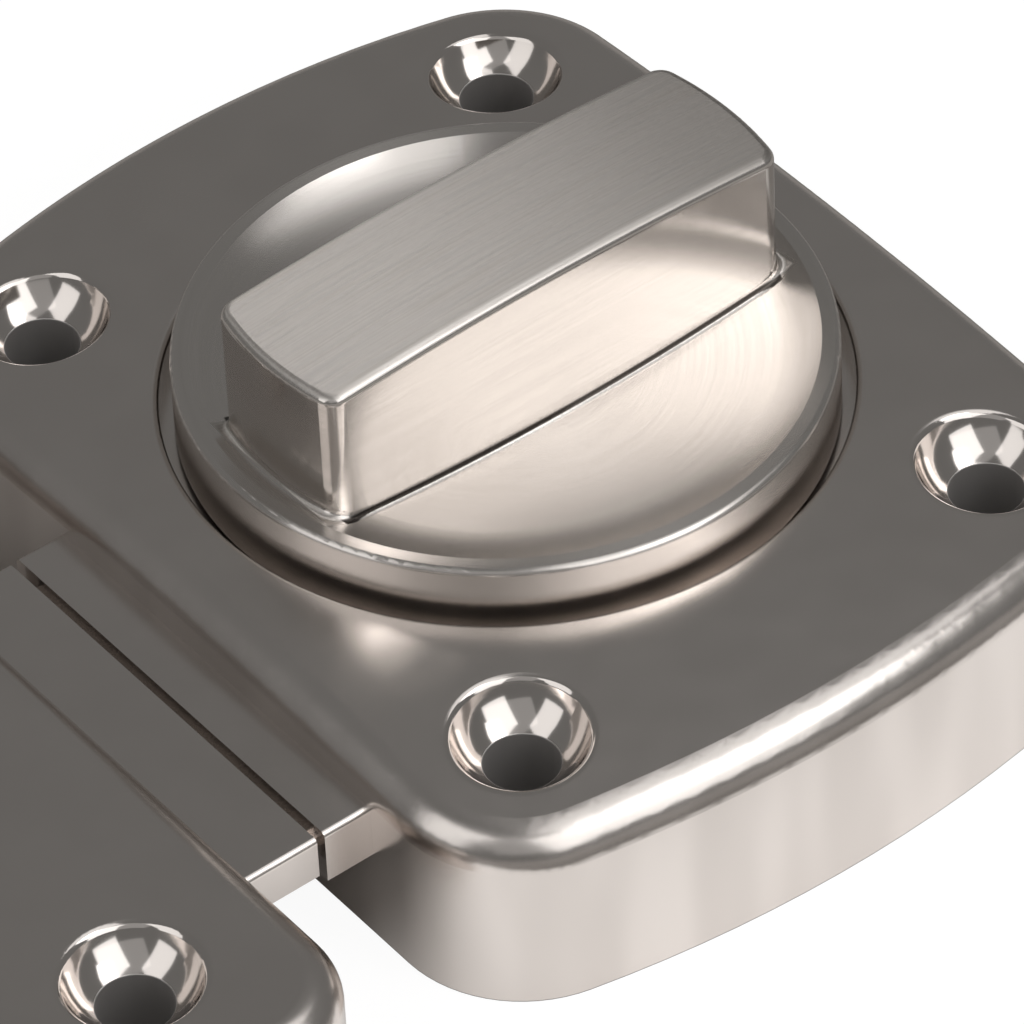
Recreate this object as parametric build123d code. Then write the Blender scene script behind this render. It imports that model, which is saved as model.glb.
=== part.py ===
from build123d import *
import math
import os

# Rotating door bolt in satin nickel plated zinc: a turn knob on a crowned cast
# housing drives a flat sliding bolt into a cast keeper beside it.
# Millimetres. The back plane that lies on the door is z = 0 and +Z points out of
# the face. The knob turns about Z at the origin. The bolt slides along X and the
# keeper stands on the -X side. The model is drawn locked, with the bolt shot.

# Housing outline, crown and walls, with the land between the knob's well and the edges
land_x = 4.8
land_y = 11.8
side_radius = 80.0
corner_radius = 8.0
crown_height = 13.8
crown_radius = 270.0
edge_fillet = 2.3
wall = 2.2
top_thickness = 3.6

# Screw holes of the housing and the keeper, measured in from the housing's edges
hole_inset_x = 7.85
hole_inset_y = 9.4
screw_hole_radius = 2.12
sink_radius = 3.85
cup_radius = 4.1
sink_lip_fillet = 0.45
pillar_radius = 3.9

# Knob, its well in the housing and its grip bar, with heights above the knob's underside
knob_radius = 18.4
knob_gap = 0.8
well_depth = 2.6
well_edge_fillet = 0.35
rim_height = 4.5
rim_fillet = 0.35
rim_crest_width = 0.7
rim_sweep_width = 3.1
dish_height = 2.7
dish_radius = 135.0
bar_width = 10.3
bar_setback = 2.35
bar_end_radius = 20.0
bar_height = 13.1
bar_crown_radius = 200.0
bar_corner_fillet = 1.2
bar_top_fillet = 0.55
bar_base_fillet = 0.4

# Spindle, its bush and the parts on its end
spindle_radius = 4.0
spindle_depth = 4.0
spindle_clearance = 0.05
bush_wall = 0.95
boss_wall = 1.2
boss_height = 1.2
boss_clearance = 0.3
square_size = 5.6
thrust_inner_radius = 8.0
thrust_margin = 0.4
thrust_thickness = 0.4
clamp_screw_radius = 2.0
clamp_screw_depth = 4.0
clamp_head_radius = 3.3
clamp_head_height = 1.7
clamp_slot_width = 1.0
clamp_slot_depth = 0.8
washer_radius = 3.9
washer_thickness = 0.6

# Crank plate and the pin that drives the bolt
crank_radius = 8.0
crank_start_angle = 225.0
knob_turn = 90.0
crank_gap = 0.1
crank_thickness = 1.2
crank_hub_radius = 6.2
crank_tip_radius = 3.4
pin_radius = 2.0
pin_tenon_radius = 1.4
pin_length = 2.1
pin_slot_clearance = 0.32

# Sliding bolt
bolt_offset_y = -4.75
bolt_width = 25.1
bolt_thickness = 1.5
bolt_top_gap = 0.2
bolt_tip_reach = 37.8
bolt_tail_reach = 8.0
bolt_side_clearance = 0.1
bolt_face_clearance = 0.1
bolt_corner_fillet = 1.0
bolt_lead_in = 0.4
window_clearance = 0.4

# Guide noses on the housing and on the keeper
nose_wall = 1.2
housing_nose_length = 3.05
housing_nose_top = 1.0
housing_nose_floor = 0.8
keeper_gap = 0.5
keeper_nose_top = 0.9
keeper_nose_skirt = 0.1
nose_fillet = 0.35
guide_rib_length = 31.0
guide_rib_drop = 3.3

# Detent under the knob
detent_setback = 4.0
ball_radius = 2.0
ball_clearance = 0.1
groove_depth = 0.6
dimple_depth = 0.95
detent_boss_radius = 3.4
spring_wire_radius = 0.25
spring_radius = 1.5
spring_turns = 6

# Back plate and its screws
plate_thickness = 1.0
plate_margin = 1.1
plate_fit = 0.1
plate_hole_clearance = 0.3
plate_screw_x = 9.5
plate_screw_inset_y = 5.7
plate_boss_radius = 2.6
plate_screw_radius = 1.0
plate_head_radius = 2.0
plate_screw_length = 7.0
plate_slot_width = 0.5
plate_slot_depth = 0.4
tab_width = 3.0
tab_inset = 1.4
tab_relief = 0.4
tab_front_x = -17.0
tab_rear_x = 5.0

# Keeper
keeper_length = 18.0
keeper_distance = 8.2
keeper_drop = 2.45
keeper_corner_radius = 6.0
keeper_edge_fillet = 2.0
keeper_top_thickness = 2.15
keeper_hole_setback = 9.5

# Levels and places worked out from the sizes above
well_radius = knob_radius + knob_gap
half_length = well_radius + land_x
half_width = well_radius + land_y
hole_x = half_length - hole_inset_x
hole_y = half_width - hole_inset_y
plate_screw_y = half_width - plate_screw_inset_y
ceiling_z = crown_height - top_thickness
well_floor_z = crown_height - well_depth
knob_bottom_z = well_floor_z + thrust_thickness
rim_height_z = knob_bottom_z + rim_height
dish_centre_z = knob_bottom_z + dish_height
bar_top_z = knob_bottom_z + bar_height
keeper_height = crown_height - keeper_drop
keeper_ceiling_z = keeper_height - keeper_top_thickness
crank_top_z = ceiling_z - crank_gap
crank_bottom_z = crank_top_z - crank_thickness
bolt_top_z = crank_bottom_z - bolt_top_gap
bolt_bottom_z = bolt_top_z - bolt_thickness
slot_top_z = bolt_top_z + bolt_face_clearance
slot_bottom_z = bolt_bottom_z - bolt_face_clearance
travel = 2 * crank_radius * math.sin(math.radians(knob_turn / 2))
pin_x = crank_radius * math.cos(math.radians(crank_start_angle))
pin_y = crank_radius * math.sin(math.radians(crank_start_angle))
slot_width_y = bolt_width + 2 * bolt_side_clearance
nose_width = slot_width_y + 2 * nose_wall
housing_nose_x = -half_length - housing_nose_length
keeper_nose_x = housing_nose_x - keeper_gap
keeper_front_x = -half_length - keeper_distance
keeper_centre_x = keeper_front_x - keeper_length / 2
keeper_hole_x = keeper_front_x - keeper_hole_setback
bush_radius = spindle_radius + spindle_clearance + bush_wall
boss_radius = bush_radius + boss_wall
boss_top_z = well_floor_z + boss_height
spindle_top_z = boss_top_z + boss_clearance + spindle_depth
window_half_width = washer_radius + window_clearance
ball_centre_z = knob_bottom_z + groove_depth - spindle_clearance - ball_radius
bore_radius = ball_radius + ball_clearance
detent_radius = knob_radius - detent_setback
thrust_outer_radius = detent_radius - bore_radius - thrust_margin
bar_half_length = knob_radius - bar_setback


def block(x_min, x_max, y_min, y_max, z_min, z_max):
    """A box between two corners."""
    centre = Pos((x_min + x_max) / 2, (y_min + y_max) / 2, (z_min + z_max) / 2)
    return centre * Box(x_max - x_min, y_max - y_min, z_max - z_min)


def rod(x, y, radius, z_min, z_max):
    """An upright cylinder between two levels."""
    return Pos(x, y, (z_min + z_max) / 2) * Cylinder(radius, z_max - z_min)


def four_places(x, y):
    """The four corners of a rectangle about the origin."""
    return [(sx * x, sy * y) for sx in (-1, 1) for sy in (-1, 1)]


def housing_plan(inset):
    """Plan of the housing, straight at both ends and curved along both sides."""
    arc = side_radius - inset
    centre_y = side_radius - half_width
    ends = Rectangle(2 * (half_length - inset), 2 * side_radius)
    plan = ends & Pos(0, centre_y) * Circle(arc) & Pos(0, -centre_y) * Circle(arc)
    return fillet(plan.vertices(), corner_radius - inset)


def keeper_plan(inset):
    """Plan of the keeper about its own centre."""
    plan = Rectangle(keeper_length - 2 * inset, 2 * (half_width - inset))
    return fillet(plan.vertices(), keeper_corner_radius - inset)


def layer(plan, z_min, z_max):
    """A plan made solid between two levels."""
    return Pos(0, 0, z_min) * extrude(plan, z_max - z_min)


def screw_sink(x, y, face_z):
    """A cupped countersink, part of a ball, that opens to the given level, and its hole."""
    rise = math.sqrt(cup_radius ** 2 - sink_radius ** 2)
    cup = Pos(x, y, face_z + rise) * Sphere(cup_radius)
    return cup + rod(x, y, screw_hole_radius, -1, face_z)


def bolt_passage(x_min, x_max, z_min):
    """The flat slot that the bolt slides through."""
    half = slot_width_y / 2
    return block(x_min, x_max, bolt_offset_y - half, bolt_offset_y + half, z_min, slot_top_z)


def nose(x_min, x_max, z_min, z_max):
    """A guide nose with softened edges on its free end, before its slot is cut."""
    half = nose_width / 2
    body = block(x_min, x_max, bolt_offset_y - half, bolt_offset_y + half, z_min, z_max)
    upper = body.faces().sort_by(Axis.Z)[-1].edges()
    return fillet(upper.filter_by(Axis.X), nose_fillet)


def edges_on_circle(solid, x, y, z_min, radius_max):
    """Closed edges round a screw hole, above a level."""
    found = []
    for edge in solid.edges().filter_by(GeomType.LINE, reverse=True):
        box = edge.bounding_box()
        near = abs(box.center().X - x) < 0.5 and abs(box.center().Y - y) < 0.5
        if near and box.min.Z > z_min and box.size.X < 2 * radius_max:
            found.append(edge)
    return found


def top_rims(solid, places, z_min):
    """The upper rims of the countersinks at the given places."""
    rims = []
    for x, y in places:
        rims += edges_on_circle(solid, x, y, z_min, sink_radius + 1.5)
    return rims


def make_housing():
    face = Pos(0, 0, crown_height - crown_radius) * Sphere(crown_radius, rotation=(90, 0, 0))
    body = layer(housing_plan(0), 0, crown_height + 1) & face
    body = fillet(body.faces().sort_by(Axis.Z)[-1].edges(), edge_fillet)
    body -= layer(housing_plan(plate_margin), -1, plate_thickness)
    body -= layer(housing_plan(wall), 0, ceiling_z)
    inner_end = -half_length + wall
    nose_z_min = slot_bottom_z - housing_nose_floor
    body += nose(housing_nose_x, inner_end, nose_z_min, slot_top_z + housing_nose_top)
    screws = four_places(hole_x, hole_y)
    for x, y in screws:
        body += rod(x, y, pillar_radius, 0, ceiling_z + 0.5)
    for x, y in four_places(plate_screw_x, plate_screw_y):
        body += rod(x, y, plate_boss_radius, plate_thickness, ceiling_z + 0.5)
        body -= rod(x, y, plate_screw_radius, 0, plate_screw_length)
    for side in (-1, 1):
        inner = bolt_offset_y + side * slot_width_y / 2
        outer = inner + side * nose_wall
        rib_end = inner_end + guide_rib_length
        low, high = sorted((inner, outer))
        body += block(inner_end - 0.5, rib_end, low, high, ceiling_z - guide_rib_drop, ceiling_z + 0.5)
    body += rod(0, detent_radius, detent_boss_radius, plate_thickness, ceiling_z + 0.5)
    body -= rod(0, 0, well_radius, well_floor_z, crown_height + 1)
    body += rod(0, 0, boss_radius, ceiling_z, boss_top_z)
    body -= rod(0, 0, bush_radius, 0, crown_height)
    body -= rod(0, detent_radius, bore_radius, 0, crown_height)
    body -= bolt_passage(housing_nose_x - 1, inner_end + 0.01, slot_bottom_z)
    face_z = crown_height - (hole_x ** 2 + hole_y ** 2) / 2 / crown_radius
    for x, y in screws:
        body -= screw_sink(x, y, face_z)
    body = fillet(top_rims(body, screws, face_z - 0.8), sink_lip_fillet)
    well_rims = edges_on_circle(body, 0, 0, well_floor_z + 0.5, well_radius + 1)
    return fillet(well_rims, well_edge_fillet)


def make_back_plate():
    plate = layer(housing_plan(plate_margin + plate_fit), 0, plate_thickness)
    for x, y in four_places(hole_x, hole_y):
        plate -= rod(x, y, pillar_radius + plate_hole_clearance, -1, 2)
    for x, y in four_places(plate_screw_x, plate_screw_y):
        plate -= plate_screw_head(x, y)
    for x in (tab_front_x, tab_rear_x):
        for side in (-1, 1):
            plate += bent_tab(x, side)
            plate -= tab_window(x, side)
    return plate


def tab_span(side):
    """The stretch along Y that a tab carries, just inside an edge of the bolt."""
    outer = bolt_offset_y + side * (bolt_width / 2 - tab_inset)
    return sorted((outer, outer - side * tab_width))


def bent_tab(x, side):
    """A tab lanced out of the plate and bent up, so that the bolt slides on its end."""
    low, high = tab_span(side)
    top = bolt_bottom_z - bolt_face_clearance
    return block(x, x + plate_thickness, low, high, 0, top)


def tab_window(x, side):
    """The window that is left where a tab was lanced out."""
    low, high = tab_span(side)
    start = x + plate_thickness
    length = bolt_bottom_z - plate_thickness
    return block(start, start + length, low - tab_relief, high + tab_relief, -1, 2)


def plate_screw_head(x, y):
    cone = Cone(plate_head_radius, plate_screw_radius, plate_thickness)
    return Pos(x, y, plate_thickness / 2) * cone


def make_back_plate_screws():
    screws = []
    for x, y in four_places(plate_screw_x, plate_screw_y):
        screw = plate_screw_head(x, y)
        screw += rod(x, y, plate_screw_radius, plate_thickness, plate_screw_length)
        slot = Box(2 * plate_head_radius, plate_slot_width, 2 * plate_slot_depth)
        screws.append(screw - Pos(x, y, 0) * slot)
    return Compound(children=screws)


def make_spindle_bush():
    bush = rod(0, 0, bush_radius, ceiling_z, boss_top_z)
    return bush - rod(0, 0, spindle_radius + spindle_clearance, 0, crown_height)


def make_thrust_washer():
    washer = rod(0, 0, thrust_outer_radius, well_floor_z, knob_bottom_z)
    return washer - rod(0, 0, thrust_inner_radius, 0, crown_height)


def dish_z(radius):
    """Height of the knob's dished face at a distance from its axis."""
    return dish_centre_z + radius ** 2 / 2 / dish_radius


def knob_profile():
    """Half section of the knob disc: wall, rounded rim, narrow crest and dished face."""
    crest_outer = knob_radius - rim_fillet
    crest_inner = crest_outer - rim_crest_width
    dish_edge = crest_inner - rim_sweep_width
    dish_end = (dish_edge, dish_z(dish_edge))
    outside = Polyline((0, dish_centre_z), (0, knob_bottom_z), (knob_radius, knob_bottom_z),
                       (knob_radius, rim_height_z - rim_fillet))
    rim = RadiusArc((knob_radius, rim_height_z - rim_fillet), (crest_outer, rim_height_z), -rim_fillet)
    crest = Line((crest_outer, rim_height_z), (crest_inner, rim_height_z))
    sweep_up = TangentArc(dish_end, (crest_inner, rim_height_z), tangent=(dish_radius, dish_edge))
    dish = ThreePointArc((0, dish_centre_z), (dish_edge / 2, dish_z(dish_edge / 2)), dish_end)
    return outside + rim + crest + sweep_up + dish


def make_knob():
    section = Plane.XZ * make_face(knob_profile())
    disc = revolve(section, Axis.Z)
    arc_x = bar_end_radius - bar_half_length
    bar_plan = Rectangle(2 * bar_half_length + 1, bar_width)
    bar_plan &= Pos(arc_x, 0) * Circle(bar_end_radius) & Pos(-arc_x, 0) * Circle(bar_end_radius)
    bar_plan = fillet(bar_plan.vertices(), bar_corner_fillet)
    bar = layer(bar_plan, knob_bottom_z + 1, bar_top_z + 1)
    crown = Cylinder(bar_crown_radius, 2 * bar_width, rotation=(90, 0, 0))
    bar &= Pos(0, 0, bar_top_z - bar_crown_radius) * crown
    bar = fillet(bar.faces().sort_by(Axis.Z)[-1].edges(), bar_top_fillet)
    knob = disc + bar
    knob = fillet(new_edges(disc, bar, combined=knob), bar_base_fillet)
    counterbore_z = boss_top_z + boss_clearance
    knob -= rod(0, 0, boss_radius + boss_clearance, 0, counterbore_z)
    knob -= rod(0, 0, spindle_radius, 0, spindle_top_z)
    track = Torus(detent_radius, bore_radius)
    knob -= Pos(0, 0, knob_bottom_z + groove_depth - bore_radius) * track
    dimple_z = knob_bottom_z + dimple_depth - bore_radius
    for turned in (0, knob_turn):
        angle = math.radians(90 - turned)
        spot = Pos(detent_radius * math.cos(angle), detent_radius * math.sin(angle), dimple_z)
        knob -= spot * Sphere(bore_radius)
    return knob


def make_spindle():
    spindle = rod(0, 0, spindle_radius, crank_top_z, spindle_top_z)
    middle = (crank_top_z + crank_bottom_z) / 2
    spindle += Pos(0, 0, middle) * Box(square_size, square_size, crank_thickness)
    spindle = chamfer(spindle.faces().sort_by(Axis.Z)[-1].edges(), 0.4)
    return spindle - rod(0, 0, clamp_screw_radius, 0, crank_bottom_z + clamp_screw_depth)


def make_crank_plate():
    hub = Circle(crank_hub_radius)
    tip = Pos(pin_x, pin_y) * Circle(crank_tip_radius)
    plate = layer(make_hull(hub.edges() + tip.edges()), crank_bottom_z, crank_top_z)
    plate -= Pos(0, 0, crank_top_z) * Box(square_size, square_size, 4 * crank_thickness)
    return plate - rod(pin_x, pin_y, pin_tenon_radius, 0, crown_height)


def make_drive_pin():
    pin = rod(pin_x, pin_y, pin_radius, crank_bottom_z - pin_length, crank_bottom_z)
    pin = chamfer(pin.edges().sort_by(Axis.Z)[0], 0.3)
    return pin + rod(pin_x, pin_y, pin_tenon_radius, crank_bottom_z, crank_top_z)


def make_spindle_washer():
    low = crank_bottom_z - washer_thickness
    washer = rod(0, 0, washer_radius, low, crank_bottom_z)
    return washer - rod(0, 0, clamp_screw_radius, 0, crown_height)


def make_spindle_screw():
    head_top = crank_bottom_z - washer_thickness
    head_bottom = head_top - clamp_head_height
    head = rod(0, 0, clamp_head_radius, head_bottom, head_top)
    head = fillet(head.edges().sort_by(Axis.Z)[0], 0.8)
    head -= Pos(0, 0, head_bottom) * Box(8, clamp_slot_width, 2 * clamp_slot_depth)
    return head + rod(0, 0, clamp_screw_radius, head_top, crank_bottom_z + clamp_screw_depth)


def make_bolt():
    half = bolt_width / 2
    plate = block(-bolt_tip_reach, bolt_tail_reach, bolt_offset_y - half, bolt_offset_y + half,
                  bolt_bottom_z, bolt_top_z)
    plate = fillet(plate.edges().filter_by(Axis.Z), bolt_corner_fillet)
    tip = plate.faces().sort_by(Axis.X)[0].edges().filter_by(Axis.Y)
    plate = chamfer(tip, bolt_lead_in)
    window = block(-travel - window_half_width, window_half_width, -window_half_width,
                   window_half_width, 0, crown_height)
    plate -= fillet(window.edges().filter_by(Axis.Z), bolt_corner_fillet)
    slot_half = pin_radius + pin_slot_clearance
    slot_end = -crank_radius - slot_half
    slot = block(pin_x - slot_half, pin_x + slot_half, slot_end, 0, 0, crown_height)
    far_edges = slot.edges().filter_by(Axis.Z).sort_by(Axis.Y)[:2]
    return plate - fillet(far_edges, bolt_corner_fillet)


def make_detent_ball():
    return Pos(0, detent_radius, ball_centre_z) * Sphere(ball_radius)


def make_detent_spring():
    """Closed coil from the back plate up to the underside of the ball."""
    seat = math.sqrt((ball_radius + spring_wire_radius) ** 2 - spring_radius ** 2)
    low = plate_thickness + spring_wire_radius
    height = ball_centre_z - seat - low
    path = Helix(height / spring_turns, height, spring_radius)
    section = Plane(path @ 0, z_dir=path % 0) * Circle(spring_wire_radius)
    return Pos(0, detent_radius, low) * sweep(section, path)


def make_keeper():
    body = extrude(keeper_plan(0), keeper_height)
    body = fillet(body.faces().sort_by(Axis.Z)[-1].edges(), keeper_edge_fillet)
    body -= layer(keeper_plan(wall), -1, keeper_ceiling_z)
    body = Pos(keeper_centre_x, 0, 0) * body
    inner_front = keeper_front_x - wall
    nose_z_min = slot_bottom_z - keeper_nose_skirt
    body += nose(inner_front, keeper_nose_x, nose_z_min, slot_top_z + keeper_nose_top)
    places = [(keeper_hole_x, side * hole_y) for side in (-1, 1)]
    for x, y in places:
        body += rod(x, y, pillar_radius, 0, keeper_ceiling_z + 0.5)
    body -= bolt_passage(keeper_front_x, keeper_nose_x + 1, 0)
    body -= bolt_passage(inner_front - 0.01, keeper_front_x + 0.01, slot_bottom_z)
    for x, y in places:
        body -= screw_sink(x, y, keeper_height)
    return fillet(top_rims(body, places, keeper_height - 0.8), sink_lip_fillet)


makers = {
    "housing": make_housing,
    "back_plate": make_back_plate,
    "back_plate_screws": make_back_plate_screws,
    "spindle_bush": make_spindle_bush,
    "thrust_washer": make_thrust_washer,
    "knob": make_knob,
    "spindle": make_spindle,
    "crank_plate": make_crank_plate,
    "drive_pin": make_drive_pin,
    "spindle_washer": make_spindle_washer,
    "spindle_screw": make_spindle_screw,
    "bolt": make_bolt,
    "detent_ball": make_detent_ball,
    "detent_spring": make_detent_spring,
    "keeper": make_keeper,
}

os.makedirs("parts", exist_ok=True)
for name, maker in makers.items():
    shape = maker()
    print(name, "volume", round(shape.volume, 2))
    export_step(shape, f"parts/{name}.step")
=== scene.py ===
# %% [markdown]
# Rotating door bolt: the finish of its castings, turnings and small steel parts
#
# A quarter turn of the knob draws a flat bolt out of a keeper. Everything that has a shape and a size is
# loaded as a fixed frame of solids, with exact surface normals. This lesson gives each of them its metal,
# models the small screws by hand, and lights the whole like a catalogue photograph.

import math
from functools import partial

import bpy
from mathutils import Matrix, Quaternion, Vector


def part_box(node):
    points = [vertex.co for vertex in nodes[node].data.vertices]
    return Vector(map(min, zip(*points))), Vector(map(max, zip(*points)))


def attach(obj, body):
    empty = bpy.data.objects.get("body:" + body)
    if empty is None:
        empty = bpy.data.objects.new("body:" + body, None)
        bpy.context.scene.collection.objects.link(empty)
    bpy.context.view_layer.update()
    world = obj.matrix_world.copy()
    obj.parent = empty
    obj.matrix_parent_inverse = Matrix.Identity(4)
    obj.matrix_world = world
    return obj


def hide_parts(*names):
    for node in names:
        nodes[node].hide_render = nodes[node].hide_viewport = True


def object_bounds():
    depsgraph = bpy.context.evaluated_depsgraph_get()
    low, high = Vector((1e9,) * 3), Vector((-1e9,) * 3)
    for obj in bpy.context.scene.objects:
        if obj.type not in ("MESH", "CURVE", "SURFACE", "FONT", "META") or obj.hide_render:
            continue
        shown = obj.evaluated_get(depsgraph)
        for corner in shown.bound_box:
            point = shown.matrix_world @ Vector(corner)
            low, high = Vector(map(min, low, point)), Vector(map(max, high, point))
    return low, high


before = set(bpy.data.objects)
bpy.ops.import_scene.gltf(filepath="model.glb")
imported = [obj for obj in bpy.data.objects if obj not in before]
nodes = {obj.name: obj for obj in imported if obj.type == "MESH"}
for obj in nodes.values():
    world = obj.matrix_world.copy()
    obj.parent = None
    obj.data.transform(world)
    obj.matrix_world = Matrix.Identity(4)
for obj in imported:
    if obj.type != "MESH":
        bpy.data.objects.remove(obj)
frame_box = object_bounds()
MM = 0.001
print("nodes:", ", ".join(sorted(nodes)))

# %% [markdown]
# The camera comes first, because a metal part shows little but its surroundings, and which surroundings
# it shows depends on where it is seen from. The photograph was taken with a long lens from above the
# keeper's corner, so the lens is long here too, and the camera leans a few degrees.

# %% Place the camera
CAMERA_AZIMUTH = math.radians(-36.28)
CAMERA_HEIGHT_ANGLE = math.radians(43.36)
CAMERA_LEAN = math.radians(-2.92)
CAMERA_DISTANCE = 470.56 * MM
CAMERA_LENS = 301.1
SENSOR_WIDTH = 36
AIM_POINT = Vector((-3.015, -3.957, 7.813)) * MM


def camera_axes():
    """The camera's right, up and backward directions, once it leans."""
    backward = Vector((
        math.sin(CAMERA_AZIMUTH) * math.cos(CAMERA_HEIGHT_ANGLE),
        -math.cos(CAMERA_AZIMUTH) * math.cos(CAMERA_HEIGHT_ANGLE),
        math.sin(CAMERA_HEIGHT_ANGLE),
    ))
    level_right = Vector((math.cos(CAMERA_AZIMUTH), math.sin(CAMERA_AZIMUTH), 0))
    level_up = backward.cross(level_right)
    right = math.cos(CAMERA_LEAN) * level_right + math.sin(CAMERA_LEAN) * level_up
    return right, backward.cross(right), backward


def place_camera():
    right, up, backward = camera_axes()
    bpy.ops.object.camera_add(location=AIM_POINT + CAMERA_DISTANCE * backward)
    camera = bpy.context.object
    camera.name = "catalogue_camera"
    camera.rotation_euler = Matrix((right, up, backward)).transposed().to_euler()
    camera.data.lens = CAMERA_LENS
    camera.data.sensor_width = SENSOR_WIDTH
    camera.data.clip_start = 10 * MM
    bpy.context.scene.camera = camera
    return camera


camera = place_camera()
bpy.context.scene.view_settings.view_transform = "Standard"
print("camera at", [round(c / MM, 1) for c in camera.location], "mm")

# %% [markdown]
# Three helpers carry every material. The first turns a colour as it is picked on a screen, an sRGB hex
# value, into the linear colour that a shader wants. The second adds a node, sets it up and links it. The
# third starts a material, and finds the place on the surface in millimetres, the unit of each pattern.

# %% Colour and node helpers
WHITE = (1, 1, 1, 1)
SMOOTH = {"interpolation_type": "SMOOTHSTEP"}


def linear(hex_colour):
    """The linear RGBA of an sRGB hex colour such as #C8BEB6."""
    shares = [int(hex_colour[at:at + 2], 16) / 255 for at in (1, 3, 5)]
    return tuple(s / 12.92 if s <= 0.04045 else ((s + 0.055) / 1.055) ** 2.4 for s in shares) + (1.0,)


def add_node(owner, kind, inputs=(), **settings):
    """Adds one shader node. Its inputs are a list, in the node's own order, or a dict by number or name.

    An input is a value, or another node or one of its outputs, which is then linked.
    """
    tree = owner.node_tree
    node = tree.nodes.new("ShaderNode" + kind)
    for name, value in settings.items():
        setattr(node, name, value)
    given = inputs.items() if isinstance(inputs, dict) else enumerate(inputs)
    for socket, value in given:
        if isinstance(value, bpy.types.Node):
            value = value.outputs[0]
        if isinstance(value, bpy.types.NodeSocket):
            tree.links.new(value, node.inputs[socket])
        else:
            node.inputs[socket].default_value = value
    return node


def start_material(name):
    """An empty material, add_node for it, and the point on the surface in the object's millimetres."""
    material = bpy.data.materials.new(name)
    material.use_nodes = True
    material.node_tree.nodes.clear()
    add = partial(add_node, material)
    on_object = add("TexCoord").outputs["Object"]
    point = add("Mapping", {"Vector": on_object, "Scale": (1 / MM, 1 / MM, 1 / MM)})
    return material, add, point


print("white is", linear("#FFFFFF")[:3])

# %% [markdown]
# The floor is a sheet of pale card. What the metal mirrors of it is chosen as a photographer would do
# with real cards: a card with a painted glow in front of the object, where the lamps would light it, and
# a grey strip of table past its edge. That strip draws the thin dark line under each bright edge.

# %% Draw the card that the metal mirrors
MIRRORED_CARD = "#BDBAB7"
TABLE_COLOUR = "#7F7C79"
# A painted glow: light drawn on the card in front of the object by an emission, not by a lamp.
FRONT_PAINTED_GLOW = 0.75
# In mm from the edge of the object's box.
CARD_MARGIN = 11.0
STRIP_WIDTH = 9.0
STRIP_FADE = 4.0


def card_with_painted_glow(add, place, distance, low_y, glow_depth):
    """The card that the metal mirrors, with a painted glow in front, and the grey strip of table past it."""
    past_card = add("MapRange", [distance, CARD_MARGIN, CARD_MARGIN + STRIP_FADE], **SMOOTH)
    strip_end = CARD_MARGIN + STRIP_FADE + STRIP_WIDTH
    past_strip = add("MapRange", [distance, strip_end, strip_end + STRIP_FADE], **SMOOTH)
    on_strip = add("Math", [past_card, past_strip], operation="SUBTRACT")
    on_card = add("Math", [1.0, past_card], operation="SUBTRACT")
    # The painted glow fades from the front of the box over a quarter of its depth.
    in_front = add("MapRange", [place[1], low_y, low_y + glow_depth, 1.0, 0.0], **SMOOTH)
    painted_glow_share = add("Math", [in_front, on_card], operation="MULTIPLY")
    strength = add("Math", [painted_glow_share, FRONT_PAINTED_GLOW], operation="MULTIPLY")
    painted_glow = add("Emission", {"Color": WHITE, "Strength": strength})
    duller = add("BsdfDiffuse", {"Color": linear(MIRRORED_CARD)})
    table = add("Emission", {"Color": linear(TABLE_COLOUR), "Strength": 1.0})
    return add("MixShader", [on_strip, add("AddShader", [duller, painted_glow]), table])


print("the card ends", CARD_MARGIN, "mm from the object")

# %% [markdown]
# A real card under the object would hide the underside, so a mirrored ray passes through it there. The
# card stays in the open gap between the two castings, where it shows in their sides.

# %% Open the card under the object
# How far inside the box the opening begins, and the gap between the castings, in mm.
COVERED_INSET = 7.0
COVER_FADE = 1.0
GAP_MIDDLE = -28.1
GAP_REACH = 8.0
# A face that rests on the floor is nearer to it than this, and would mirror nothing else.
TOUCHING = 0.06 * MM


def mirrored_floor(add, point, ray_length, box):
    """The floor as the metal mirrors it: open under the object, and the lit card round it."""
    low, high = (Vector(corner) / MM for corner in box)
    centre = (low + high) / 2
    half = (high - low) / 2
    place = add("SeparateXYZ", [point]).outputs
    squares = []
    insides = []
    for axis in (0, 1):
        offset = add("Math", [place[axis], centre[axis]], operation="SUBTRACT")
        away = add("Math", [offset], operation="ABSOLUTE")
        past_side = add("Math", [away, half[axis]], operation="SUBTRACT")
        beyond = add("Math", [past_side, 0.0], operation="MAXIMUM")
        squares.append(add("Math", [beyond, beyond], operation="MULTIPLY"))
        insides.append(add("Math", [away, half[axis] - COVERED_INSET], operation="SUBTRACT"))
    distance = add("Math", [add("Math", squares, operation="ADD")], operation="SQRT")
    card = card_with_painted_glow(add, place, distance, low.y, half.y / 2)
    past_cover = add("Math", insides, operation="MAXIMUM")
    beside = add("MapRange", [past_cover, -COVER_FADE, 0.0], **SMOOTH)
    from_gap = add("Math", [place[0], GAP_MIDDLE], operation="SUBTRACT")
    from_gap = add("Math", [from_gap], operation="ABSOLUTE")
    in_gap = add("MapRange", [from_gap, GAP_REACH, GAP_REACH + COVER_FADE, 1.0, 0.0], **SMOOTH)
    open_floor = add("Math", [beside, in_gap], operation="MAXIMUM")
    far_off = add("MapRange", [ray_length, TOUCHING, 2 * TOUCHING], **SMOOTH)
    shows = add("Math", [open_floor, far_off], operation="MINIMUM")
    return add("MixShader", [shows, add("BsdfTransparent"), card])


print("the gap is centred at X", GAP_MIDDLE, "mm")

# %% [markdown]
# The camera sees the card as pure white, apart from the object's soft shadow: a white of its own, and on
# top of it a small share of the card as the lamps light it, which carries the shadow. The card has no
# back, so a view from below shows the underside in full light.

# %% Lay the floor
FLOOR_SIZE = 6.0
FLOOR_CLEARANCE = 0.02 * MM
FLOOR_COLOUR = "#F6F5F3"
CAMERA_WHITE = 0.93
SHADOW_SHARE = 0.15


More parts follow.
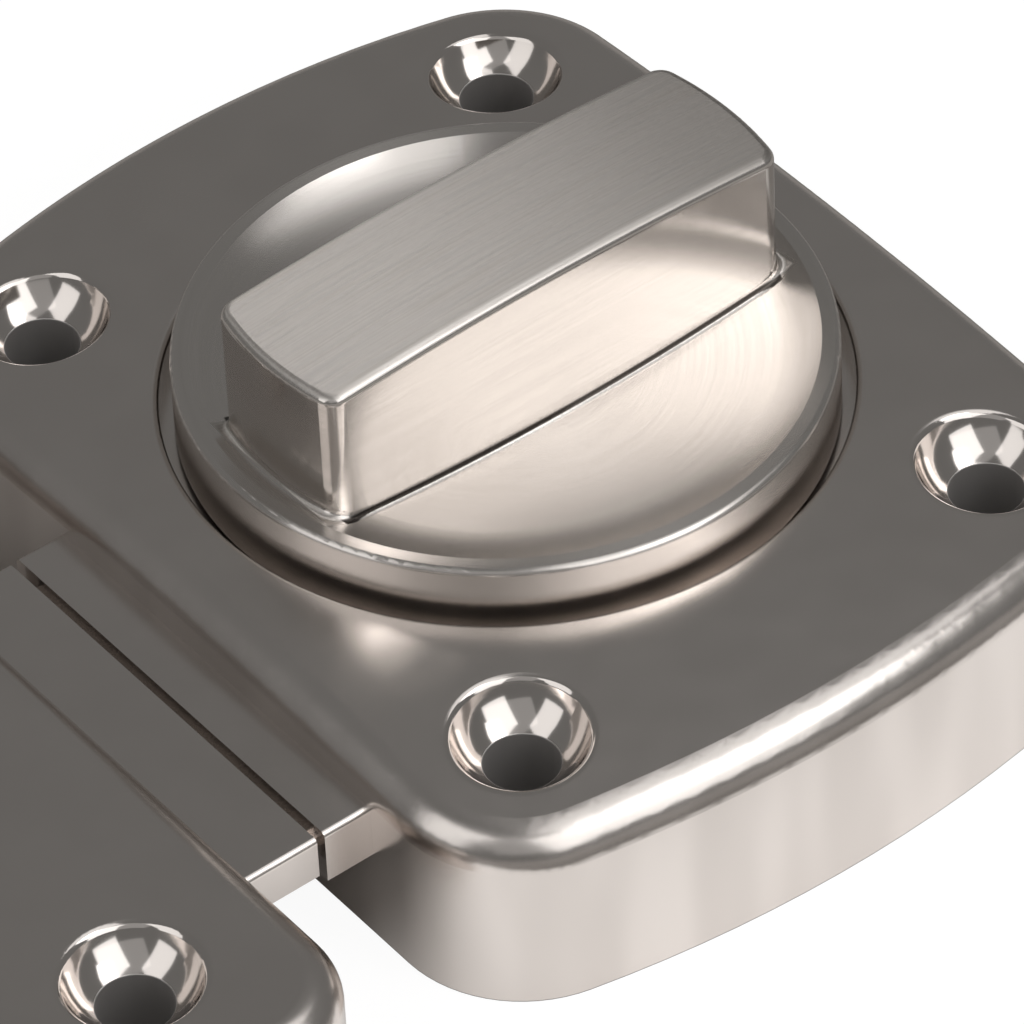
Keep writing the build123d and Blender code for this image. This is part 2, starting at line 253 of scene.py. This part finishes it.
def card_material(box):
    material, add, point = start_material("matt_white_card")
    rays = add("LightPath").outputs
    card = add("BsdfDiffuse", {"Color": linear(FLOOR_COLOUR)})
    shaded = add("MixShader", [1 - SHADOW_SHARE, card])
    white = add("Emission", {"Color": WHITE, "Strength": CAMERA_WHITE})
    for_camera = add("AddShader", [shaded, white])
    plain = add("MixShader", [rays["Is Camera Ray"], card, for_camera])
    mirrored = mirrored_floor(add, point, rays["Ray Length"], box)
    from_above = add("MixShader", [rays["Is Glossy Ray"], plain, mirrored])
    from_below = add("NewGeometry").outputs["Backfacing"]
    one_sided = add("MixShader", [from_below, from_above, add("BsdfTransparent")])
    add("OutputMaterial", {"Surface": one_sided})
    return material


def lay_floor(box):
    bpy.ops.mesh.primitive_plane_add(size=FLOOR_SIZE, location=(0, 0, box[0][2] - FLOOR_CLEARANCE))
    floor = bpy.context.object
    floor.name = "floor"
    floor.data.transform(floor.matrix_world)
    floor.matrix_world.identity()
    floor.data.materials.append(card_material(box))


lay_floor(frame_box)
print("floor at", round(frame_box[0][2] / MM, 2), "mm")

# %% [markdown]
# The light is plain soft studio light. A large box stands in front, a wide faint one overlaps its left
# side, and a small leaned key box stands at its right. A fourth hangs high at the right, and a fifth
# stands at the left, in a dim grey room. Polished metal shows each box with its edges. Satin metal shows
# the same boxes smeared, so their places are what models the surface.

# %% Set the lamps
ROOM_COLOUR = "#747473"
LAMP_DISTANCE = 1.0


def soft_box(name, azimuth, height_angle, width, height, brightness, lean=0):
    """A rectangular lamp that faces the object: angles in degrees, and its size in metres.

    Brightness is what a mirror shows of it: 1 is white.
    """
    towards = Vector((
        math.cos(math.radians(azimuth)) * math.cos(math.radians(height_angle)),
        math.sin(math.radians(azimuth)) * math.cos(math.radians(height_angle)),
        math.sin(math.radians(height_angle)),
    ))
    bpy.ops.object.light_add(type="AREA", location=LAMP_DISTANCE * towards)
    lamp = bpy.context.object
    lamp.name = name
    upright = towards.to_track_quat("Z", "Y")
    lamp.rotation_euler = (upright @ Quaternion((0, 0, 1), math.radians(lean))).to_euler()
    lamp.data.shape = "RECTANGLE"
    lamp.data.size = width
    lamp.data.size_y = height
    lamp.data.energy = brightness * math.pi * width * height


def paint_the_room():
    """A dim grey room for every ray but the camera's own, which sees white."""
    world = bpy.data.worlds.new("grey_room")
    world.use_nodes = True
    world.node_tree.nodes.clear()
    add = partial(add_node, world)
    room = add("Background", {"Color": linear(ROOM_COLOUR)})
    backdrop = add("Background", {"Color": WHITE})
    by_camera = add("LightPath").outputs["Is Camera Ray"]
    add("OutputWorld", {"Surface": add("MixShader", [by_camera, room, backdrop])})
    bpy.context.scene.world = world


paint_the_room()
soft_box("front_box", 273, 37, 0.72, 0.90, 1.2)
soft_box("wide_box", 252, 44, 1.50, 0.90, 0.2)
soft_box("key_box", 300, 49, 0.42, 0.52, 2.1, lean=-38)
soft_box("upper_box", 325, 70, 0.80, 0.56, 0.9)
soft_box("left_box", 178, 37, 0.60, 0.90, 0.95)

# %% [markdown]
# The housing and the keeper are zinc die castings, shot-blasted, nickel-plated and brushed to a satin.
# The countersinks were cut after the blasting and plated bright, so they stay as smooth as a mirror. Their
# bores are darker, painted shade for the depth of the hole. The three could be painted face by face. One
# number does it with less: how far the surface is from the axis of the nearest screw hole.

# %% Tell satin, bright cups and bores with painted shade apart
COUNTERSINK_EDGE = (3.95, 4.25)
BORE_EDGE = (2.13, 2.18)


def hole_distance(add, place, hole, mirrored_x):
    """How far the surface is from the axis of the nearest screw hole."""
    along = add("Math", [place[0]], operation="ABSOLUTE") if mirrored_x else place[0]
    across = add("Math", [place[1]], operation="ABSOLUTE")
    sides = [add("Math", [side, middle], operation="SUBTRACT") for side, middle in zip((along, across), hole)]
    squares = [add("Math", [side, side], operation="MULTIPLY") for side in sides]
    return add("Math", [add("Math", squares, operation="ADD")], operation="SQRT")


print("the satin ends", COUNTERSINK_EDGE[0], "mm from the axis of a hole")

# %% [markdown]
# Nickel is a warm grey. The belt that smoothed the walls before the plating left them faintly streaked
# from top to bottom, and one noise draws these streaks and the walls' waves together. The flat tops show
# a quarter as much. In the bores the colour is darker: painted shade for the depth of the hole.

# %% Colour the plating
NICKEL = "#DAD3CE"
NICKEL_SHADE = "#CDC6C1"
# The bores' colour: painted shade for the depth of the hole.
BORE_PAINTED_SHADE = "#B3B0AE"
STREAKS_ON_TOP = 0.25
WALL_TO_TOP = (0.3, 0.8)
MID_TONES = (0.3, 0.7)


def plated_colour(add, waves, outside_bore):
    upward = add("SeparateXYZ", [add("TexCoord").outputs["Normal"]]).outputs[2]
    on_walls = add("MapRange", [upward, *WALL_TO_TOP, 1.0, STREAKS_ON_TOP], **SMOOTH)
    tone = add("MapRange", [waves, *MID_TONES], **SMOOTH)
    streak = add("Math", [on_walls, tone], operation="MULTIPLY")
    plating = add("Mix", {0: streak, 6: linear(NICKEL), 7: linear(NICKEL_SHADE)}, data_type="RGBA").outputs[2]
    # Darker in the bores: painted shade.
    return add("Mix", {0: outside_bore, 6: linear(BORE_PAINTED_SHADE), 7: plating}, data_type="RGBA").outputs[2]


print("nickel is", [round(share, 2) for share in linear(NICKEL)[:3]])

# %% [markdown]
# Roughness says how far a metal blurs what it mirrors. The blasted and brushed faces blur a lamp to a
# soft band, the flat guide noses a little less, the cups hardly at all, and the bores nearly to one
# tone. The grain of the blasting changes the blur by a hair from grain to grain.

# %% Set the gloss of the plating
SATIN_ROUGHNESS = 0.24
NOSE_ROUGHNESS = 0.21
BRIGHT_ROUGHNESS = 0.11
BORE_ROUGHNESS = 0.7
GRAIN_ROUGHNESS = 0.008
NOSE_FADE = 0.4


def plated_roughness(add, past_root, grain, satin, outside_bore):
    gloss = add("MapRange", [past_root, 0.0, NOSE_FADE, SATIN_ROUGHNESS, NOSE_ROUGHNESS], **SMOOTH)
    grained = add("MapRange", [grain, *MID_TONES, -GRAIN_ROUGHNESS, GRAIN_ROUGHNESS], **SMOOTH)
    rough = add("Math", [gloss, grained], operation="ADD")
    plated = add("Mix", {0: satin, 2: BRIGHT_ROUGHNESS, 3: rough}, data_type="FLOAT")
    return add("Mix", {0: outside_bore, 2: BORE_ROUGHNESS, 3: plated}, data_type="FLOAT")


print("roughness from", BRIGHT_ROUGHNESS, "in a cup to", SATIN_ROUGHNESS, "on a wall")

# %% [markdown]
# Two bumps are laid over each other: the slow waves that the belt left, which make a bright band waver
# along a wall, and the fine pebbles of the blasting. A real pebble is about 0.1 mm, too small for a
# pixel, so the grain is drawn 0.25 mm wide. Both fade out in the countersinks.

# %% Put the satin nickel together
WAVES_PER_MM = (0.22, 0.22, 0.04)
WAVE_HEIGHT = 0.12 * MM
WAVE_STRENGTH = 0.7
GRAIN_SIZE = 0.25
GRAIN_HEIGHT = 0.02 * MM
GRAIN_STRENGTH = 0.02


def relief(add, waves, grain, satin):
    wave_strength = add("Math", [satin, WAVE_STRENGTH], operation="MULTIPLY")
    wavy = add("Bump", {"Strength": wave_strength, "Distance": WAVE_HEIGHT, "Height": waves})
    grain_strength = add("Math", [satin, GRAIN_STRENGTH], operation="MULTIPLY")
    pebbles = {"Strength": grain_strength, "Distance": GRAIN_HEIGHT, "Height": grain, "Normal": wavy}
    return add("Bump", pebbles)


def satin_nickel(name, hole, mirrored_x, nose_root, nose_side):
    material, add, point = start_material(name)
    place = add("SeparateXYZ", [point]).outputs
    away = hole_distance(add, place, hole, mirrored_x)
    satin = add("MapRange", [away, *COUNTERSINK_EDGE], **SMOOTH)
    outside_bore = add("MapRange", [away, *BORE_EDGE], **SMOOTH)
    from_root = add("Math", [place[0], nose_root], operation="SUBTRACT")
    past_root = add("Math", [from_root, nose_side], operation="MULTIPLY")
    grain = add("TexNoise", {"Vector": point, "Scale": 1 / GRAIN_SIZE, "Detail": 3.0})
    strokes = add("Mapping", {"Vector": point, "Scale": WAVES_PER_MM})
    waves = add("TexNoise", {"Vector": strokes, "Scale": 1.0, "Detail": 1.0})
    metal = add("BsdfPrincipled", {
        "Base Color": plated_colour(add, waves, outside_bore),
        "Metallic": 1.0,
        "Roughness": plated_roughness(add, past_root, grain, satin, outside_bore),
        "Normal": relief(add, waves, grain, satin),
    })
    add("OutputMaterial", {"Surface": metal})
    return material


def dress(names, material):
    """Gives solids their finish. A solid's mesh stays as it is."""
    for name in names:
        slots = nodes[name].data.materials
        slots.clear()
        slots.append(material)


HOUSING_HOLE = (16.15, 21.6)
KEEPER_HOLE = (-41.7, 21.6)
HOUSING_NOSE_ROOT = -24.0
KEEPER_NOSE_ROOT = -32.2
dress(["housing"], satin_nickel("satin_nickel_on_housing", HOUSING_HOLE, True, HOUSING_NOSE_ROOT, -1))
dress(["keeper"], satin_nickel("satin_nickel_on_keeper", KEEPER_HOLE, False, KEEPER_NOSE_ROOT, 1))
print("bright countersinks at", HOUSING_HOLE, "and", KEEPER_HOLE, "mm")

# %% [markdown]
# The knob is cast, brushed and plated with nickel. The brush went in circles round its dish and rim, and
# lengthwise along its bar. It is one casting and one mesh, so the material has to know where the bar is
# and where its flat top is. Both are worked out from the place on the surface and from the way it faces.

# %% Find the bar and its top
BAR_HALF_WIDTH = 5.15
BAR_HALF_LENGTH = 16.1
BAR_FOOT = 15.3
BESIDE_BAR = (BAR_HALF_WIDTH + 0.05, BAR_HALF_WIDTH + 0.25)
PAST_BAR = (BAR_HALF_LENGTH, BAR_HALF_LENGTH + 0.2)
ABOVE_DISH = (BAR_FOOT, BAR_FOOT + 0.3)
SIDE_TO_TOP = (0.5, 0.9)


def bar_and_top(add, place):
    """Where the bar is, and where its top is, each from 0 to 1."""
    off_centre = add("Math", [place[1]], operation="ABSOLUTE")
    beside_bar = add("MapRange", [off_centre, *BESIDE_BAR], **SMOOTH)
    off_middle = add("Math", [place[0]], operation="ABSOLUTE")
    past_bar = add("MapRange", [off_middle, *PAST_BAR], **SMOOTH)
    outside = add("Math", [beside_bar, past_bar], operation="MAXIMUM")
    over_bar = add("Math", [1.0, outside], operation="SUBTRACT")
    above_dish = add("MapRange", [place[2], *ABOVE_DISH], **SMOOTH)
    on_bar = add("Math", [above_dish, over_bar], operation="MULTIPLY")
    upward = add("SeparateXYZ", [add("TexCoord").outputs["Normal"]]).outputs[2]
    level = add("MapRange", [upward, *SIDE_TO_TOP], **SMOOTH)
    return on_bar, add("Math", [on_bar, level], operation="MULTIPLY")


print("the bar is", 2 * BAR_HALF_WIDTH, "mm wide")

# %% [markdown]
# Brushing does two things to the look. Its lines show as fine light and dark strokes. They also smear
# every reflection across themselves: on the bar's top across the bar, so that it catches the key light
# which its mirror direction would miss, and on the dish from the middle outwards, so that its highlights
# are wedges. The real strokes are about 0.05 mm apart, and are drawn 0.22 mm apart to show at all.

# %% Draw the strokes of the brush
LINE_WIDTH = 0.22
LINE_DRIFT = 0.08


def smear_direction(add, outward, on_bar, on_top):
    """Outward on the dish and rim, across the bar on its top, and upright on its sides."""
    across_bar = add("CombineXYZ", [0.0, on_top, 1.0])
    smear = add("Mix", {0: on_bar, 4: outward, 5: across_bar}, data_type="VECTOR").outputs[1]
    smear = add("VectorMath", [smear], operation="NORMALIZE")
    return add("VectorTransform", [smear], vector_type="VECTOR", convert_from="OBJECT", convert_to="WORLD")


def brush_lines(add, place, radius, on_bar, on_top):
    """Circles on the dish and rim, and lengthwise strokes on the bar."""
    on_face = add("Mix", {0: on_top, 2: place[2], 3: place[1]}, data_type="FLOAT")
    across = add("Mix", {0: on_bar, 2: radius, 3: on_face}, data_type="FLOAT")
    in_lines = add("Math", [across, LINE_WIDTH], operation="DIVIDE")
    turn = add("Math", [place[1], place[0]], operation="ARCTAN2")
    diagonal = add("Math", [place[0], place[1]], operation="ADD")
    drift = add("Math", [diagonal, LINE_DRIFT], operation="MULTIPLY")
    along = add("Mix", {0: on_bar, 2: turn, 3: drift}, data_type="FLOAT")
    where = add("CombineXYZ", [in_lines, along])
    return add("TexNoise", {"Vector": where, "Scale": 1.0, "Detail": 3.0})


print("brush strokes", LINE_WIDTH, "mm apart")

# %% [markdown]
# A thin dark line of painted shade draws the bar's foot, in the corner where the bar stands on the dish.
# The dish is part of a ball, and the line follows it: it lies from a tenth to three tenths of a millimetre
# above the dish, close beside the bar.

# %% Paint shade in a line at the bar's foot
DISH_CENTRE = 14.3
DISH_RADIUS = 135.0
CORNER_WIDTH = 0.4
LINE_BEGINS = (0.06, 0.12)
LINE_ENDS = (0.26, 0.40)
LINE_EDGE = (-0.05, 0.05)


# A line of painted shade in the corner at the bar's foot.
def painted_foot_shade(add, place, radius):
    square = add("Math", [radius, 2.0], operation="POWER")
    rise = add("Math", [square, 0.5 / DISH_RADIUS], operation="MULTIPLY")
    dish_level = add("Math", [rise, DISH_CENTRE], operation="ADD")
    above = add("Math", [place[2], dish_level], operation="SUBTRACT")
    begins = add("MapRange", [above, *LINE_BEGINS], **SMOOTH)
    ends = add("MapRange", [above, *LINE_ENDS, 1.0, 0.0], **SMOOTH)
    in_painted_shade = add("Math", [begins, ends], operation="MULTIPLY")
    off_centre = add("Math", [place[1]], operation="ABSOLUTE")
    beside_bar = add("Math", [off_centre, BAR_HALF_WIDTH + CORNER_WIDTH], operation="SUBTRACT")
    past_end = add("Math", [radius, BAR_HALF_LENGTH], operation="SUBTRACT")
    off_foot = add("Math", [beside_bar, past_end], operation="MAXIMUM")
    at_foot = add("MapRange", [off_foot, *LINE_EDGE, 1.0, 0.0], **SMOOTH)
    return add("Math", [in_painted_shade, at_foot], operation="MULTIPLY")


print("the dish rises", round(0.5 / DISH_RADIUS * BAR_HALF_LENGTH ** 2, 2), "mm to the bar's ends")

# %% [markdown]
# The bar's top was brushed coarsely, so its strokes show and blur the lamps to one long sheen. The dish
# was brushed finer, and the bar's sides finer still: each of them shows the other, softly.

# %% Put the brushed nickel together
BRUSHED_LIGHT = "#DED8D3"
BRUSHED_SHADE = "#C6C0BA"
# The colour of the painted shade at the bar's foot.
FOOT_PAINTED_SHADE = "#4A4541"
DISH_ROUGHNESS = (0.262, 0.27)
SIDE_ROUGHNESS = (0.15, 0.18)
TOP_ROUGHNESS = (0.42, 0.60)
LONG_SMEAR = 0.88
SIDE_SMEAR = 0.35
STROKE_TONES = (0.25, 0.75)
FINE_STROKE_SHARE = 0.2
LINE_HEIGHT = 0.01 * MM
DISH_LINE_STRENGTH = 0.004
TOP_LINE_STRENGTH = 0.05


def brushed_colour(add, lines, on_top, in_painted_shade):
    share = add("MapRange", [on_top, 0.0, 1.0, FINE_STROKE_SHARE, 1.0], **SMOOTH)
    dark_strokes = add("MapRange", [lines, *STROKE_TONES], **SMOOTH)
    tone = add("Math", [dark_strokes, share], operation="MULTIPLY")
    tones = {0: tone, 6: linear(BRUSHED_LIGHT), 7: linear(BRUSHED_SHADE)}
    brushed = add("Mix", tones, data_type="RGBA").outputs[2]
    # The dark line at the bar's foot is painted shade.
    return add("Mix", {0: in_painted_shade, 6: brushed, 7: linear(FOOT_PAINTED_SHADE)}, data_type="RGBA").outputs[2]


def brushed_roughness(add, lines, on_bar, on_top):
    dish = add("MapRange", [lines, *MID_TONES, *DISH_ROUGHNESS], **SMOOTH)
    side = add("MapRange", [lines, *MID_TONES, *SIDE_ROUGHNESS], **SMOOTH)
    top = add("MapRange", [lines, *MID_TONES, *TOP_ROUGHNESS], **SMOOTH)
    fine = add("Mix", {0: on_bar, 2: dish, 3: side}, data_type="FLOAT")
    return add("Mix", {0: on_top, 2: fine, 3: top}, data_type="FLOAT")


def brushed_nickel():
    material, add, point = start_material("brushed_nickel_on_knob")
    place = add("SeparateXYZ", [point]).outputs
    outward = add("CombineXYZ", [place[0], place[1], 0.0])
    radius = add("VectorMath", [outward], operation="LENGTH").outputs["Value"]
    on_bar, on_top = bar_and_top(add, place)
    on_side = add("Math", [on_bar, on_top], operation="SUBTRACT")
    lines = brush_lines(add, place, radius, on_bar, on_top)
    depth = add("MapRange", [on_top, 0.0, 1.0, DISH_LINE_STRENGTH, TOP_LINE_STRENGTH], **SMOOTH)
    metal = add("BsdfPrincipled", {
        "Base Color": brushed_colour(add, lines, on_top, painted_foot_shade(add, place, radius)),
        "Metallic": 1.0,
        "Roughness": brushed_roughness(add, lines, on_bar, on_top),
        "Anisotropic": add("MapRange", [on_side, 0.0, 1.0, LONG_SMEAR, SIDE_SMEAR], **SMOOTH),
        "Tangent": smear_direction(add, outward, on_bar, on_top),
        "Normal": add("Bump", {"Strength": depth, "Distance": LINE_HEIGHT, "Height": lines}),
    })
    add("OutputMaterial", {"Surface": metal})
    return material


dress(["knob"], brushed_nickel())
print("the knob is brushed in circles and along its bar")

# %% [markdown]
# The pieces inside and behind are plain shop metals and plastic, and each has the finish of its making.
# One function serves every metal among them: a colour and a gloss that wander a little in patches, as
# they do on plated and rolled steel. Only the size of the patches and the roughness differ.

# %% Strip, turned steel, spring steel and nylon
PATCH_HEIGHT = 0.02 * MM
PATCH_STRENGTH = 0.1
PATCH_ROUGHNESS = 0.04
FLOW_SIZE = 1.25
NYLON_LIGHT = "#E9E6DC"
NYLON_SHADE = "#DEDACD"
NYLON_IOR = 1.53
NYLON_ROUGHNESS = 0.42
# How much of the light goes in, and how far the red, green and blue of it spread.
NYLON_DEPTH = 0.1
NYLON_SPREAD = (1.0 * MM, 0.9 * MM, 0.8 * MM)


def plain_metal(name, light, dark, roughness, patch_size):
    """A plated or bright metal whose tone and gloss wander a little, in patches of a size in mm."""
    material, add, point = start_material(name)
    patches = add("TexNoise", {"Vector": point, "Scale": 1 / patch_size, "Detail": 4.0})
    colour = add("Mix", {0: patches, 6: linear(light), 7: linear(dark)}, data_type="RGBA").outputs[2]
    gloss_range = (roughness - PATCH_ROUGHNESS, roughness + PATCH_ROUGHNESS)
    metal = add("BsdfPrincipled", {
        "Base Color": colour,
        "Metallic": 1.0,
        "Roughness": add("MapRange", [patches, *MID_TONES, *gloss_range], **SMOOTH),
        "Normal": add("Bump", {"Strength": PATCH_STRENGTH, "Distance": PATCH_HEIGHT, "Height": patches}),
    })
    add("OutputMaterial", {"Surface": metal})
    return material


def nylon(name):
    material, add, point = start_material(name)
    flow = add("TexNoise", {"Vector": point, "Scale": 1 / FLOW_SIZE})
    tones = {0: flow, 6: linear(NYLON_LIGHT), 7: linear(NYLON_SHADE)}
    colour = add("Mix", tones, data_type="RGBA").outputs[2]
    plastic = add("BsdfPrincipled", {
        "Base Color": colour,
        "Roughness": NYLON_ROUGHNESS,
        "IOR": NYLON_IOR,
        "Subsurface Weight": NYLON_DEPTH,
        "Subsurface Radius": NYLON_SPREAD,
    })
    add("OutputMaterial", {"Surface": plastic})
    return material


# Steel strip with the castings' own nickel on it: warm, with a fine dull grain from rolling.
dress(["bolt"], plain_metal("satin_nickel_plated_strip", "#D2C8C1", "#C2B9B2", 0.26, 0.5))
# Bright zinc on blanked strip: bluish, and a little cloudy in patches of a millimetre or two.
dress(["back_plate", "crank_plate"], plain_metal("zinc_plated_strip", "#C9CCCE", "#B4B8BB", 0.30, 1.5))
# The same zinc on turned steel: smoother, so it glints along its edges.
turned_steel = plain_metal("zinc_plated_turned_steel", "#CDCFD0", "#B9BCBE", 0.22, 0.6)
dress(["spindle", "drive_pin", "spindle_washer"], turned_steel)
# Hardened and polished steel: darker than zinc, and nearly a mirror.
dress(["detent_ball", "detent_spring"], plain_metal("polished_spring_steel", "#A9A7A4", "#94928F", 0.15, 0.8))
# Moulded nylon: milky, a little translucent, with faint flow marks and a soft sheen.
dress(["spindle_bush", "thrust_washer"], nylon("moulded_natural_nylon"))
print("materials:", len(bpy.data.materials))

# %% [markdown]
# Four small countersunk screws hold the back plate, and a larger one the crank plate. A screw is turned
# from wire, so here it starts as a cylinder whose end face is extruded and resized level by level: first
# the head, then the thread.

# %% Turn a profile
ROUND_SIDES = 48
FACE_TOLERANCE = 0.01 * MM


def deselect_all():
    bpy.ops.object.select_all(action="DESELECT")


def select_only(piece):
    deselect_all()
    piece.select_set(True)
    bpy.context.view_layer.objects.active = piece


def apply_place():
    bpy.ops.object.transform_apply(location=True, rotation=True, scale=True)


def select_top_face(piece, top):
    bpy.ops.object.mode_set(mode="EDIT")
    bpy.ops.mesh.select_all(action="DESELECT")
    bpy.ops.object.mode_set(mode="OBJECT")
    for face in piece.data.polygons:
        face.select = abs(face.center.z - top) < FACE_TOLERANCE
    bpy.ops.object.mode_set(mode="EDIT")
    bpy.ops.mesh.select_mode(type="FACE")


def resize_cap(place, height, factor):
    centre = place + Vector((0, 0, height)) * MM
    bpy.ops.transform.resize(value=(factor, factor, 1), center_override=centre)


def turn_profile(name, place, levels):
    """A turned solid. Levels are (radius, height) in mm, from the first face up."""
    (first_radius, first_height), (second_radius, second_height) = levels[:2]
    step = second_height - first_height
    middle = place + Vector((0, 0, first_height + step / 2)) * MM
    deselect_all()
    bpy.ops.mesh.primitive_cylinder_add(
        vertices=ROUND_SIDES, radius=first_radius * MM, depth=step * MM, location=middle
    )
    piece = bpy.context.object
    piece.name = name
    apply_place()
    select_top_face(piece, place.z + (first_height + step) * MM)
    resize_cap(place, second_height, second_radius / first_radius)
    for (radius, height), (next_radius, next_height) in zip(levels[1:], levels[2:]):
        rise = (0, 0, (next_height - height) * MM)
        bpy.ops.mesh.extrude_region_move(TRANSFORM_OT_translate={"value": rise})
        resize_cap(place, next_height, next_radius / radius)
    bpy.ops.object.mode_set(mode="OBJECT")
    return piece


print("a turned piece has", ROUND_SIDES, "sides")

# %% [markdown]
# A real thread is one ridge that winds round the shank. A pillar or the spindle hides all of it here, so
# closed rings with the same crests, roots and pitch do. Each ring is four levels of the profile: two at
# the root and two at the crest.

# %% Space the thread
# Where the root and the crest begin and end, and how much of the end is left plain, in pitches.
ROOT_SPAN = (0.35, 0.50)
CREST_SPAN = (0.85, 1.00)
PLAIN_END = 0.5


def thread_levels(low, high, crest, root, pitch):
    """The roots and crests of a thread, and its blunt end."""
    levels = []
    for turn in range(int((high - low) / pitch - PLAIN_END)):
        start = low + turn * pitch
        levels += [(root, start + share * pitch) for share in ROOT_SPAN]
        levels += [(crest, start + share * pitch) for share in CREST_SPAN]
    return levels + [(root, high)]


print("each ring has its root at", ROOT_SPAN, "and its crest at", CREST_SPAN, "of the pitch")

# %% [markdown]
# A block cuts the slot with a Boolean modifier, as a slitting saw cuts the real one. Then a Bevel modifier
# breaks the sharp edges, because a broken edge is what catches the light on a small screw.

# %% Cut the slot and break the edges
SHARP_ANGLE = math.radians(40)
SMOOTH_ANGLE = math.radians(35)


def cut_slot(piece, place, height, length, width, depth):
    deselect_all()
    bpy.ops.mesh.primitive_cube_add(size=1, location=place + Vector((0, 0, height)) * MM)
    cutter = bpy.context.object
    bpy.ops.transform.resize(value=(length * MM, width * MM, 2 * depth * MM))
    apply_place()
    select_only(piece)
    slot = piece.modifiers.new("slot", "BOOLEAN")
    slot.operation = "DIFFERENCE"
    slot.solver = "EXACT"
    slot.object = cutter
    bpy.ops.object.modifier_apply(modifier=slot.name)
    bpy.data.objects.remove(cutter)


def break_edges(piece, width):
    edge = piece.modifiers.new("broken_edges", "BEVEL")
    edge.width = width * MM
    edge.segments = 2
    edge.limit_method = "ANGLE"
    edge.angle_limit = SHARP_ANGLE
    bpy.ops.object.modifier_apply(modifier=edge.name)
    bpy.ops.object.shade_smooth_by_angle(angle=SMOOTH_ANGLE)


def finish_screw(screw, body, node):
    screw.data.materials.clear()
    screw.data.materials.append(turned_steel)
    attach(screw, body)
    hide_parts(node)


print("edges sharper than", round(math.degrees(SHARP_ANGLE)), "degrees are broken")

# %% [markdown]
# The back plate screws are countersunk, so that the plate lies flat on the door. One is modelled and then
# copied. A driven screw stops with its slot at any angle, so each copy is turned by an angle of its own.

# %% Model one back plate screw and copy it
PLATE_SCREW_PLACE = Vector((9.5, 25.3, 0)) * MM
# The head as (radius, height) in mm, from its flat face up.
PLATE_HEAD = [(1.97, 0.0), (1.97, 0.1), (1.05, 0.98), (0.98, 1.1)]
PLATE_THREAD = {"low": 1.2, "high": 7.0, "crest": 0.98, "root": 0.76, "pitch": 0.7}
PLATE_SLOT = {"length": 5.0, "width": 0.5, "depth": 0.4}
PLATE_EDGE = 0.04
# Each copy's number, its side in X and in Y, and how far its slot is turned, in degrees.
OTHER_CORNERS = {2: (-1, 1, 35), 3: (-1, -1, 110), 4: (1, -1, 70)}


def make_plate_screws():
    first = turn_profile("back_plate_screw_1", PLATE_SCREW_PLACE, PLATE_HEAD + thread_levels(**PLATE_THREAD))
    cut_slot(first, PLATE_SCREW_PLACE, 0.0, **PLATE_SLOT)
    break_edges(first, PLATE_EDGE)
    screws = [first]
    for number, (side_x, side_y, slot_angle) in OTHER_CORNERS.items():
        corner = Vector((side_x * PLATE_SCREW_PLACE.x, side_y * PLATE_SCREW_PLACE.y, 0))
        select_only(first)
        bpy.ops.object.duplicate(linked=False)
        screw = bpy.context.object
        screw.name = "back_plate_screw_%d" % number
        bpy.ops.transform.translate(value=corner - PLATE_SCREW_PLACE)
        bpy.ops.transform.rotate(value=math.radians(slot_angle), orient_axis="Z", center_override=corner)
        apply_place()
        screws.append(screw)
    return screws


plate_screws = make_plate_screws()
for screw in plate_screws:
    finish_screw(screw, "base", "back_plate_screws")
print("plate screws:", [screw.name for screw in plate_screws])
print("faces in each:", len(plate_screws[0].data.polygons))

# %% [markdown]
# A larger screw clamps the crank plate and its washer on the end of the spindle. Its pan head is drawn
# from the same levels: a flat face, a quarter round, and the straight side that stands on the washer.

# %% Model the clamp screw
CLAMP_HEAD_RADIUS = 3.3
CLAMP_HEAD_HEIGHT = 1.7
CLAMP_HEAD_ROUND = 0.8
CLAMP_ROUND_STEPS = 6
# How far past the head the shank and its thread begin.
CLAMP_SHANK_BEGINS = 0.01
CLAMP_THREAD_BEGINS = 0.1
CLAMP_THREAD = {"crest": 1.97, "root": 1.62, "pitch": 0.7}
CLAMP_SLOT = {"length": 8.0, "width": 1.0, "depth": 0.8}
CLAMP_EDGE = 0.05


def pan_head_levels(face):
    """The pan head from its face up: the round, the straight side and the start of the shank."""
    flat = CLAMP_HEAD_RADIUS - CLAMP_HEAD_ROUND
    neck = face + CLAMP_HEAD_HEIGHT
    levels = [(flat, face)]
    for step in range(1, CLAMP_ROUND_STEPS + 1):
        angle = math.radians(90) * step / CLAMP_ROUND_STEPS
        rise = CLAMP_HEAD_ROUND * (1 - math.cos(angle))
        levels.append((flat + CLAMP_HEAD_ROUND * math.sin(angle), face + rise))
    return levels + [(CLAMP_HEAD_RADIUS, neck), (CLAMP_THREAD["crest"], neck + CLAMP_SHANK_BEGINS)]


def make_clamp_screw():
    low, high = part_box("spindle_screw")
    face, end = low[2] / MM, high[2] / MM
    middle = Vector((0, 0, 0))
    head = pan_head_levels(face)
    thread_start = face + CLAMP_HEAD_HEIGHT + CLAMP_THREAD_BEGINS
    screw = turn_profile("clamp_screw", middle, head + thread_levels(thread_start, end, **CLAMP_THREAD))
    cut_slot(screw, middle, face, **CLAMP_SLOT)
    break_edges(screw, CLAMP_EDGE)
    return screw


clamp_screw = make_clamp_screw()
finish_screw(clamp_screw, "knob_unit", "spindle_screw")
heights = [corner.co.z / MM for corner in clamp_screw.data.vertices]
print("clamp screw:", len(clamp_screw.data.polygons), "faces")
print("its height in mm:", round(min(heights), 2), "to", round(max(heights), 2))
